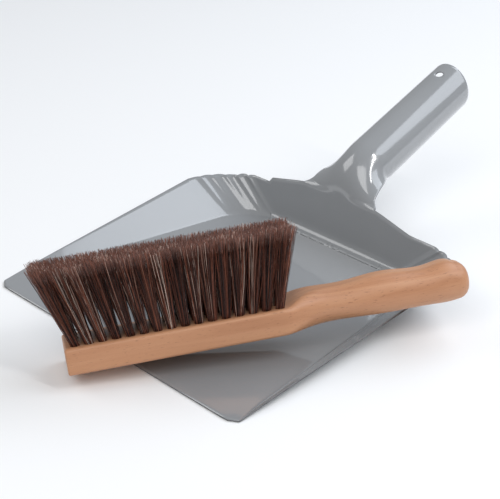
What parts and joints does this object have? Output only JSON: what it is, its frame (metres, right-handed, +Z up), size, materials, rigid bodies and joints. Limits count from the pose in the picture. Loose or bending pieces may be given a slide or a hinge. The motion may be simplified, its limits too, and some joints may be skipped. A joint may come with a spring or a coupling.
{
  "type": "dust pan and brush set",
  "caption": "Steel dust pan with a rolled open-seam handle, and a beech hand brush with fanned dark bristle tufts resting across its lip.",
  "frame": {"origin": "on the underside of the dust pan's floor, on the centre line midway between the lip and the rear fold", "axes": "+Y from the pan's lip towards its handle, +Z up, +X towards the side wall that the brush handle crosses"},
  "size_m": [0.2752, 0.3955, 0.109],
  "materials": {
    "grey_paint": "gloss",
    "beech": "satin",
    "bristle": "satin",
    "anchor_wire": "satin"
  },
  "bodies": {
    "pan": {"dustpan": "grey_paint"},
    "brush": {"brush_stock": "beech", "tuft_column_01": "bristle", "tuft_column_02": "bristle", "tuft_column_03": "bristle", "tuft_column_04": "bristle", "tuft_column_05": "bristle", "tuft_column_06": "bristle", "tuft_column_07": "bristle", "tuft_column_08": "bristle", "tuft_column_09": "bristle", "tuft_column_10": "bristle", "tuft_column_11": "bristle", "tuft_column_12": "bristle", "tuft_column_13": "bristle", "tuft_column_14": "bristle", "tuft_column_15": "bristle", "tuft_column_16": "bristle", "anchor_wires_row_1": "anchor_wire", "anchor_wires_row_2": "anchor_wire", "anchor_wires_row_3": "anchor_wire", "anchor_wires_row_4": "anchor_wire"}
  },
  "joints": [
    {"name": "brush_lift", "type": "slide", "parent": "pan", "child": "brush", "axis": [0, 0, 1], "range_m": [0, 0.15]}
  ]
}
